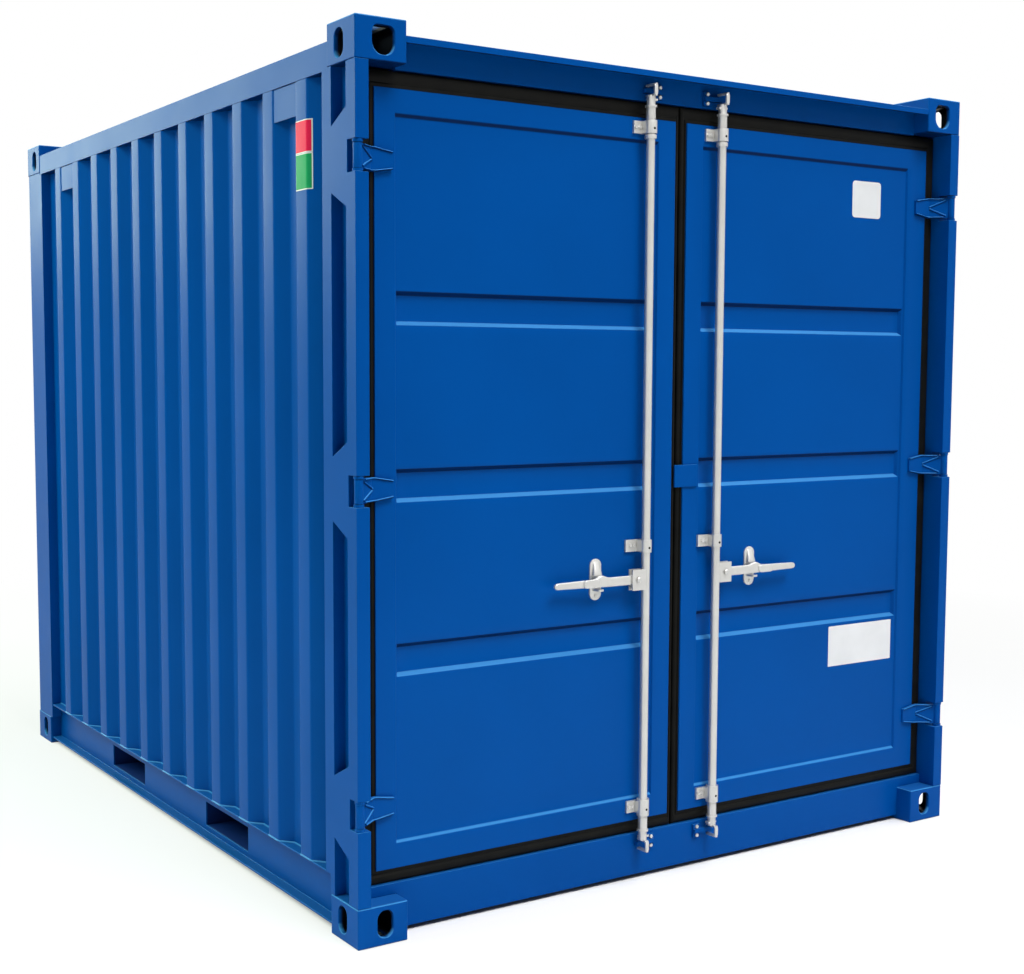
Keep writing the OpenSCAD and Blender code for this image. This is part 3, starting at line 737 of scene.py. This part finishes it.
# %% Door sheets
FACE, LEAF_EDGE, LEAF_SHEET = 65.0, 95.0, 2.0
LEAF_Z = (195.0, 2417.0)
FREE_EDGE = {"left": 1180.0, "right": 1210.0}
PANEL_U = {"left": (160.0, 1114.0), "right": (185.0, 1144.0)}
PANEL_Z = (LEAF_Z[0] + 69, LEAF_Z[1] - 65)
PANEL_DEEP, PANEL_RUN_U, PANEL_RUN_Z = 7.0, 6.0, 14.0
BAND_Z = np.mean(LEAF_Z) + 504.0 * np.array([-1, 0, 1])
BAND_DEEP, BAND_HALF, BAND_RUN_U, BAND_RUN_Z = 14.0, 49.0, 11.0, 14.0


def ramp(x, edges, run):
    """0 outside the two edges, 1 further inside than the run, and a straight line between."""
    return np.clip(np.minimum(x - edges[0], edges[1] - x) / run, 0, 1)


def pressed(u, z, edges_u, edges_z, run_u, run_z):
    """The smaller of the two ramps, through the smooth step 3s^2 - 2s^3."""
    s = np.minimum(ramp(u, edges_u, run_u), ramp(z, edges_z, run_z))
    return s * s * (3 - 2 * s)


def slopes(edges, run):
    """Where a pressing slopes: from each of its two edges inwards by the run."""
    return [(edges[0], edges[0] + run), (edges[1] - run, edges[1])]


def grid_lines(ends, steep, per_slope=9, spacing=60.0):
    """Sorted grid lines: the ends, an even spacing between, and some on each slope."""
    even = np.linspace(*ends, int((ends[1] - ends[0]) / spacing))
    fine = [np.linspace(a, b, per_slope) for a, b in steep]
    return np.unique(np.round(np.concatenate([even] + fine), 3))


def door_sheet(panel_u, free, side):
    """Depth of the sheet = 7 mm times the panel's pressing plus 14 mm times the bands' pressing."""
    band_u = (panel_u[0] + PANEL_RUN_U, panel_u[1] - PANEL_RUN_U)
    bands = [(b - BAND_HALF, b + BAND_HALF) for b in BAND_Z]
    steep_u = slopes(panel_u, PANEL_RUN_U) + slopes(band_u, BAND_RUN_U)
    steep_z = sum((slopes(b, BAND_RUN_Z) for b in bands), slopes(PANEL_Z, PANEL_RUN_Z))
    u, z = np.meshgrid(grid_lines((LEAF_EDGE, free), steep_u), grid_lines(LEAF_Z, steep_z), indexing="ij")
    depth = PANEL_DEEP * pressed(u, z, panel_u, PANEL_Z, PANEL_RUN_U, PANEL_RUN_Z)
    for band_z in bands:
        depth = depth + BAND_DEEP * pressed(u, z, band_u, band_z, BAND_RUN_U, BAND_RUN_Z)
    front, back = place(u, FACE + depth, z, side), place(u, FACE + LEAF_SHEET + depth, z, side)
    return loft(np.concatenate([front, back[:, ::-1]], 1))


for name, side in SIDES.items():
    add_piece(name + "_pressed_sheet", [door_sheet(PANEL_U[name], FREE_EDGE[name], side)], name + "_door",
              "blue_paint", stands_for=[name + "_door_sheet"], smooth=50)

# %% [markdown]
# ## Weld beads along the walls
#
# The waves of each wall stand on the flange of the bottom rail, and a fillet weld follows them. It shows
# as a thin bright line that goes in and out with the waves. It could be painted on as a bump, but it
# stands out at the bends. So a small diamond is carried along the path that the wall already has.

# %% Weld beads
BEAD = 3.5
BEAD_OUT = BEAD * np.array([-1.0, 0.0, 1.0, 0.0])
BEAD_LIFT = BEAD * np.array([0.0, 1.0, 0.0, -0.1])


def bead_rings(path):
    """A diamond on the path: out on the flange, up on the wall, and the two points between."""
    rings = np.stack([offset(path, out) for out in BEAD_OUT], 1)
    return rings[..., 0], rings[..., 1], np.broadcast_to(WALL_Z[0] + BEAD_LIFT, rings.shape[:2])


along, depth, z = bead_rings(side_path)
beads = [loft(place(depth, along, z, side)) for side in SIDES.values()]
along, depth, z = bead_rings(back_path)
beads.append(loft(place(along, LENGTH - depth, z)))
add_piece("wall_weld_beads", beads, "container", "blue_paint")

# %% [markdown]
# ## Corner plates
#
# The rails stop at the castings, and a small plate closes each corner above them, so that no daylight
# shows there when the doors are open. A plate could be a scaled cube, but a scaled object slides its
# paint. So it is a loft too: one ring of four corners at two levels.

# %% Corner plates
PLATE_Z = (117.0, 179.0)
DOOR_CORNER = ((41.5, 44.5), (118.0, 167.0))
BACK_CORNER = ((98.0, 164.0), (2943.0, 2946.0))


def corner_plate(u, d, side):
    """A box between two places along each axis."""
    ring = place(np.array(u)[[0, 1, 1, 0]], np.array(d)[[0, 0, 1, 1]], 0.0, side)
    return loft(np.stack([ring + (0, 0, level / 1000) for level in PLATE_Z]))


plates = [corner_plate(*corner, side) for corner in (DOOR_CORNER, BACK_CORNER) for side in SIDES.values()]
add_piece("corner_plates", plates, "container", "blue_paint")

# %% [markdown]
# ## Door seals
#
# Each leaf wears an extruded rubber seal with a rib next to the steel and a thin lip that bends against
# the frame. Four bars could frame the leaf, but they would need cut ends. So one profile, which runs
# outwards from the edge of the leaf, is carried round the four corners: at a corner it leans both
# ways at once, and that makes the mitre by itself.

# %% Seals
SEAL_OUT = np.array([0.0, 0.09, 0.2, 0.28, 0.36, 0.48, 0.64, 0.8, 0.95, 1.0, 1.0, 0.9, 0.45, 0.0])
SEAL_D = np.array([70.5, 69.2, 69.6, 73.0, 73.2, 70.8, 71.2, 73.5, 77.0, 80.0, 83.0, 87.0, 99.0, 99.5])
SEAL_REACH_U = np.array([-51.5, 22.0])
SEAL_REACH_Z = np.array([-43.5, 49.5])


def seal(free, side):
    """Four rings at the corners of the leaf: edge + share * reach across and up, at the profile's depth."""
    across, up = [0, 1, 1, 0], [0, 0, 1, 1]
    u = np.array([LEAF_EDGE, free])[across, None] + SEAL_OUT * SEAL_REACH_U[across, None]
    z = np.array(LEAF_Z)[up, None] + SEAL_OUT * SEAL_REACH_Z[up, None]
    return loft(place(u, SEAL_D[None, :], z, side), closed=True)


for name, side in SIDES.items():
    add_piece(name + "_rubber_seal", [seal(FREE_EDGE[name], side)], name + "_door", "rubber",
              stands_for=[name + "_door_seal"], smooth=25)

# %% [markdown]
# ## Hinge blades
#
# A hinge blade is pressed plate: its two edges are folded forward, and a chevron is pressed into the
# slanted part so that it does not bend. Both show as bright lines. A bump in the paint could draw
# them, but it has no outline. So each line is a rib, a half round profile carried along a path on
# the front of the blade, and it leans with the blade at the fold.

# %% Ribs on the blades
FOLD_U, FOLD_D = np.array([17.5, 80.0, 150.0]), np.array([9.5, 57.0, 57.0])
HINGE_Z = (383.0, 1300.0, 2217.0)
RIB_SINK = 0.6


def rib(u, z, width, height, points=9):
    """A half ellipse on the blade: across the path by width * cos, off the plate by height * sin."""
    path = np.stack([u, np.interp(u, FOLD_U, FOLD_D), z], 1)
    along = np.gradient(path, axis=0)
    along /= np.linalg.norm(along, axis=1, keepdims=True)
    lean = np.interp(u, [74.0, 86.0], [0.65, 0.0])
    off = np.stack([lean, -np.sqrt(1 - lean**2), np.zeros_like(u)], 1)
    across = np.cross(along, off)
    turn = np.linspace(0, np.pi, points)
    profile = np.stack([np.cos(turn) * width / 2, np.sin(turn) * height - RIB_SINK], 1)
    return path[:, None] + profile[None, :, :1] * across[:, None] + profile[None, :, 1:] * off[:, None]


def blade_edge(u):
    """Half the height of a blade: full to the fold, then tapered to the end of the strap."""
    return np.interp(u, [90.0, 151.0], [35.0, 25.0])


reach = np.linspace(40, 148, 28)
arm = np.linspace(0, 1, 20)
ribs = [rib(reach, s * (blade_edge(reach) - 3), width=6, height=5) for s in (-1, 1)]
ribs += [rib(34 + 48 * arm, s * (27 - 25 * arm), width=8, height=4) for s in (-1, 1)]
for name, side in SIDES.items():
    skins = [loft(place(r[..., 0], r[..., 1], r[..., 2] + z, side)) for z in HINGE_Z for r in ribs]
    add_piece(name + "_blade_ribs", skins, name + "_door", "blue_paint")

# %% [markdown]
# A washer above and below each hinge eye carries the door. It could be a cylinder with a hole cut through
# it, but a cut leaves long thin faces. So it is a square profile turned round the pin.

# %% Pin washers
PIN, EYE_HALF, WASHER, WASHER_GAP = 15.5, 35.0, 7.8, 0.6
WASHER_R = np.array([7.3, 15.0, 15.0, 7.3])
WASHER_Z = np.array([-0.5, -0.5, 0.5, 0.5]) * WASHER


def washer(z, side):
    """A ring: the four corners of a square profile carried round the pin."""
    turn = np.linspace(0, 2 * np.pi, 32, endpoint=False)[:, None]
    ring = place(PIN + WASHER_R * np.cos(turn), PIN + WASHER_R * np.sin(turn), z + WASHER_Z, side)
    return loft(ring, closed=True)


above = EYE_HALF + WASHER_GAP + WASHER / 2
washers = [washer(z + s * above, side) for z in HINGE_Z for s in (-1, 1) for side in SIDES.values()]
add_piece("hinge_washers", washers, "container", "blue_paint")

# %% [markdown]
# ## Bolts and rivets
#
# The lock gear is bolted and riveted on. A head could be a cut sphere, but only its outline and its shine
# show. So it is a small dome of rings that shrink as they rise. It is made once, around its own
# middle, and a list of places copies it to every seat.

# %% Heads
DOME = ((1.0, 0.0), (1.0, 0.3), (0.86, 0.68), (0.5, 0.93), (0.06, 1.0))
HEX = ((1.0, 0.0), (1.0, 0.75), (0.84, 1.0))


def heads(places, side, radius, height, around=12, shape=DOME):
    """Domes that face the door end: rings of radius share r at height share h, one dome per place."""
    turn = np.linspace(0, 2 * np.pi, around, endpoint=False)
    r, h = np.array(shape).T[..., None]
    u, z = radius * r * np.cos(turn), radius * r * np.sin(turn)
    d = np.broadcast_to(-height * h, u.shape)
    return [loft(place(u + a, d + b, z + c, side)) for a, b, c in places]


def hex_heads(places, side):
    """Bolts with a six sided head and a chamfered top."""
    return heads(places, side, 6.5, 5.0, around=6, shape=HEX)


print("a dome of", len(DOME), "rings")

# %% [markdown]
# Each lock bar turns in three guides with two bolts each, and a small black dome on each guide is painted
# shade for a small hole there. Its handle hangs on a rivet, and its catch and its two keepers are bolted on.
# The places are worked out from the middle of the bar, so a bolt follows when the bar moves in the design.

# %% Bolts in their seats
BAR_U = {"left": 1057.0, "right": 1087.0}
BAR_D, SLEEVE_R, MID_R = 38.0, 20.0, 18.5
GUIDE_Z = (242.0, 1084.0, 2386.0)
GUIDE_R = (SLEEVE_R, MID_R, SLEEVE_R)
FOOT_BOLTS = (28.0, 42.0)
MID_SEAT = {"left": FACE + PANEL_DEEP, "right": FACE}
HANDLE_Z, HUB, HASP = 979.0, 36.0, 140.0
CAM_Z, KEEPER_OUT, KEEPER_HALF = (118.0, 2498.0), 49.0, 14.5

keepers = []
for name, side in SIDES.items():
    bar = BAR_U[name]
    seats = zip(GUIDE_Z, (FACE, MID_SEAT[name], FACE))
    foot = [(bar + side * out, seat - 8, z) for z, seat in seats for out in FOOT_BOLTS]
    catch = [(bar - HUB - HASP, FACE + PANEL_DEEP - 6, HANDLE_Z - 44)]
    add_piece(name + "_guide_bolts", hex_heads(foot, side) + heads(catch, side, 6.0, 3.5), name + "_door",
              "zinc")
    rivet = [(bar - HUB, BAR_D - 14.9, HANDLE_Z)]
    add_piece(name + "_hub_rivet", heads(rivet, side, 9.0, 4.0), name + "_bar", "zinc")
    # Painted shade: a black rubber dome stands for the dark of a small hole in each sleeve.
    hole_dots = [(bar, BAR_D - r + 0.8, z - 5) for z, r in zip(GUIDE_Z, GUIDE_R)]
    add_piece(name + "_shaded_hole_dots", heads(hole_dots, side, 4.2, 1.6), name + "_door", "rubber")
    seats = [(bar + KEEPER_OUT, FACE - 9, z + s * KEEPER_HALF) for z in CAM_Z for s in (-1, 1)]
    keepers += hex_heads(seats, side)
add_piece("keeper_bolts", keepers, "container", "zinc")

# %% [markdown]
# ## Forged claws
#
# At each end of a lock bar a C shaped claw closes round a keeper. A forging has no sharp edge. A box with a
# Bevel would round its edges but not its bends, so a soft flat ring is carried along a path
# whose corners are arcs.

# %% Claws
CLAW_PATH = ((19, -16), (-23, -16), (-23, 16), (19, 16))
CLAW_BEND = 7.0


def soft_ring(across, deep, power=4.0, count=28):
    """A rounded rectangle: cos and sin raised to 2 / power, times the two half sizes."""
    turn = np.linspace(0, 2 * np.pi, count, endpoint=False)
    c, s = np.cos(turn), np.sin(turn)
    return (across * np.sign(c) * np.abs(c) ** (2 / power), deep * np.sign(s) * np.abs(s) ** (2 / power))


def claw_skin(bar, z, side):
    """The C of a cam, in an upright plane: a soft flat bar carried along a path with rounded corners,
    with each ring set across the path."""
    path = rounded(CLAW_PATH, CLAW_BEND)
    across, thick = soft_ring(6.5, 3.6, 5.0)
    ring = np.stack([offset(path, t) for t in thick], 1)
    return loft(place(bar + across[None], BAR_D + ring[..., 0], z + ring[..., 1], side))


for name, side in SIDES.items():
    claws = [claw_skin(BAR_U[name], z, side) for z in CAM_Z]
    add_piece(name + "_cam_claws", claws, name + "_bar", "zinc", smooth=50)

# %% [markdown]
# ## Handles
#
# The handle is forged too: a soft edged bar with a groove along its front, a hump on its back at the catch,
# a long tongue beyond it, and thinner towards its tip. It could be sculpted, but every swell of it is a
# plain curve along its length, so each is one term in the size of the ring.

# %% Handles
NOSE_START, NOSE = 306.0, 14.0
EYE_R, EYE_D = np.array([6.3, 15.0, 15.0, 6.3]), np.array([-6.0, -6.0, 6.0, 6.0])
TONGUE_OUT, TONGUE_HALF, TONGUE_PROUD = 41.0, 32.0, 6.5


def handle_bar(pivot, side):
    """Half its height falls from 15 to 10 mm, the hump adds 9 mm * exp(-x^2) to its top at the catch,
    the groove dips its front by 2.5 mm, and the nose shrinks as a quarter circle."""
    nose = NOSE_START + NOSE * np.sin(np.linspace(0.1, 1.5, 9))
    out = np.concatenate([np.linspace(12, NOSE_START, 75), nose])[:, None]
    tip = np.sqrt(np.clip(1 - ((out - NOSE_START) / (NOSE + 0.1)).clip(0) ** 2, 0, 1))
    tall = np.interp(out, [0, HASP - 20, HASP + 40, 320], [15.0, 14.5, 12.5, 10.0]) * tip
    z, deep = soft_ring(tall, 6.0 * np.sqrt(tip))
    z = z + 9.0 * np.exp(-(((out - HASP) / 18) ** 2)) * np.clip(z / 6.0, 0, 1)
    window = np.clip(np.minimum(out - 40, HASP - 25 - out) / 12, 0, 1)
    groove = 2.5 * window * np.exp(-((z / 5.5) ** 2)) * (deep < 0)
    return loft(place(pivot - out, BAR_D + deep + groove, HANDLE_Z + z, side))


def handle_eye(pivot, side):
    """The ring round the rivet: the four corners of a profile carried round the pivot."""
    turn = np.linspace(0, 2 * np.pi, 32, endpoint=False)[:, None]
    eye = place(pivot + EYE_R * np.cos(turn), BAR_D + EYE_D, HANDLE_Z + EYE_R * np.sin(turn), side)
    return loft(eye, closed=True)


def handle_tongue(pivot, side):
    """A pad on the front of the bar: rings that shrink to both ends by the root of 1.02 - x^8."""
    along = np.sin(np.linspace(-np.pi / 2, np.pi / 2, 19))[:, None]
    end = np.sqrt(1.02 - along**8)
    z, deep = soft_ring(13.0 * end, 5.5 * end, 5.0)
    middle = pivot - HASP - TONGUE_OUT
    return loft(place(middle + TONGUE_HALF * along, BAR_D - TONGUE_PROUD + deep, HANDLE_Z + z, side))


for name, side in SIDES.items():
    pivot = BAR_U[name] - HUB
    skins = [shape(pivot, side) for shape in (handle_bar, handle_eye, handle_tongue)]
    add_piece(name + "_forged_handle", skins, name + "_lever", "zinc", stands_for=[name + "_handle"],
              smooth=50)

# %% [markdown]
# ## Catches
#
# The catch is a round ended plate on the door, with a bell shaped lug above the handle and a shelf below it.
# It could be joined with a Boolean, but the three are welded from separate pieces on the real one too,
# so each is a loft of its own that runs a little into the plate.

# %% Catches
CATCH_R, CATCH_TOP, CATCH_FOOT = 22.0, 50.0, -36.0
SHELF_D, SHELF_HALF, SHELF_Z = 52.5, 18.5, (-27.0, -21.0)
BELL_D, BELL_FOOT, BELL_TALL = 69.0, 22.0, 42.0


def catch_plate(middle, side):
    """Two half circles with straight sides between, in three rings: the back, the front and a rim."""
    turn = np.linspace(0, 2 * np.pi, 48, endpoint=False)
    u = CATCH_R * np.cos(turn)
    z = np.where(np.sin(turn) > 0, CATCH_TOP, CATCH_FOOT) + CATCH_R * np.sin(turn)
    share, d = np.array([1.0, 1.0, 0.93])[:, None], np.array([72.0, 67.5, 66.0])[:, None]
    centre = (CATCH_TOP + CATCH_FOOT) / 2
    return loft(place(middle + u * share, d, HANDLE_Z + centre + (z - centre) * (0.4 + 0.6 * share), side))


def catch_shelf(middle, side):
    """A rounded rectangle that is narrower at its front, at two levels."""
    across, along = soft_ring(15.0, SHELF_HALF)
    across = across * np.interp(along, [-SHELF_HALF, SHELF_HALF], [0.7, 1.0])
    level = np.array(SHELF_Z)[:, None]
    return loft(place(middle + across[None], SHELF_D + along[None], HANDLE_Z + level, side))


def catch_bell(middle, side):
    """Rings that rise and shrink back to the plate: half their depth is 9.5 - 8 * rise^1.4."""
    rise = np.linspace(0, 1, 14)[:, None]
    half = 9.5 - 8.0 * rise**1.4
    across, deep = soft_ring(17.0 - 7.0 * rise, half, 2.6)
    return loft(place(middle + across, BELL_D - half + deep, HANDLE_Z + BELL_FOOT + BELL_TALL * rise, side))


for name, side in SIDES.items():
    middle = BAR_U[name] - HUB - HASP
    skins = [shape(middle, side) for shape in (catch_plate, catch_shelf, catch_bell)]
    add_piece(name + "_catch_plate", skins, name + "_door", "zinc", stands_for=[name + "_handle_catch"],
              smooth=50)

# %% [markdown]
# ## Bare plates
#
# The right door carries a small label and a wide plate, both blank here. They could be painted into the
# enamel, but real ones have an edge that catches the light, so they are rounded rectangles with the
# thickness of card.

# %% Plates
LABEL = dict(u=(316, 455), z=(2167, 2292), corner=12)
PLATE = dict(u=(211, 525), z=(601, 743), corner=3)
CARD = 0.8


def satin_plastic(name, colour):
    """Printed film: an even colour with a slow fade and a soft gloss."""
    material, tree, shader = new_material(name)
    faded = tuple(0.93 * c for c in colour)
    tree.links.new(blend_colours(tree, noise(tree, 9.0), faded, colour), shader.inputs["Base Color"])
    tree.links.new(rescale(tree, noise(tree, 25.0), 0, 1, 0.35, 0.5), shader.inputs["Roughness"])
    shader.inputs["Specular IOR Level"].default_value = 0.06
    return material


def card(u, z, corner):
    """A rounded rectangle: quarter circles at four corners, as two rings a card's thickness apart."""
    quarter = np.linspace(0, np.pi / 2, 6)
    turn = (quarter + np.pi / 2 * np.arange(4)[:, None]).ravel()
    middle_u = np.repeat([u[1] - corner, u[0] + corner, u[0] + corner, u[1] - corner], 6)
    middle_z = np.repeat([z[1] - corner, z[1] - corner, z[0] + corner, z[0] + corner], 6)
    across, up = middle_u + corner * np.cos(turn), middle_z + corner * np.sin(turn)
    seat = FACE + PANEL_DEEP
    return loft(np.stack([place(across, d, up, RIGHT) for d in (seat, seat - CARD)]))


white_film = satin_plastic("white_film", (0.74, 0.74, 0.76))
add_piece("blank_label", [card(**LABEL)], "right_door", "blue_paint", white_film)
add_piece("blank_plate", [card(**PLATE)], "right_door", "blue_paint", white_film)

# %% [markdown]
# ## Two colour stickers
#
# The first strip of the left wall has a red and a green sticker that wraps round its bend. A flat card would
# cut through the wave, so each sticker follows the path of the wall, moved out by half a millimetre, on
# a white film that is a little larger.

# %% Stickers
STICKER_D, FILM, RIM = (282.0, 368.0), 0.3, 3.0


def wrapped(start, end, z0, z1, proud):
    """Part of the wall's path between two places along it, moved outwards, as a thin film."""
    ends = np.array([start, end])
    ends = np.stack([ends, np.interp(ends, side_path[:, 0], side_path[:, 1])], 1)
    inside = side_path[(side_path[:, 0] > start + 0.5) & (side_path[:, 0] < end - 0.5)]
    part = np.concatenate([ends[:1], inside, ends[1:]])
    along, depth, z = strip(offset(part, -proud), offset(part, FILM - proud), z0, z1)
    return loft(place(depth, along, z))


def sticker(name, z0, z1, colour):
    """A plain colour on a white film that is larger by a rim all round."""
    start, end = STICKER_D
    add_piece(name + "_film", [wrapped(start, end, z0, z1, 0.6)], "container", "blue_paint", white_film)
    add_piece(name, [wrapped(start + RIM, end - RIM, z0 + RIM, z1 - RIM, 0.9)], "container", "blue_paint",
              satin_plastic(name, colour))


sticker("red_sticker", 2258.0, 2352.0, (0.7, 0.014, 0.07))
sticker("green_sticker", 2153.0, 2257.0, (0.01, 0.28, 0.1))
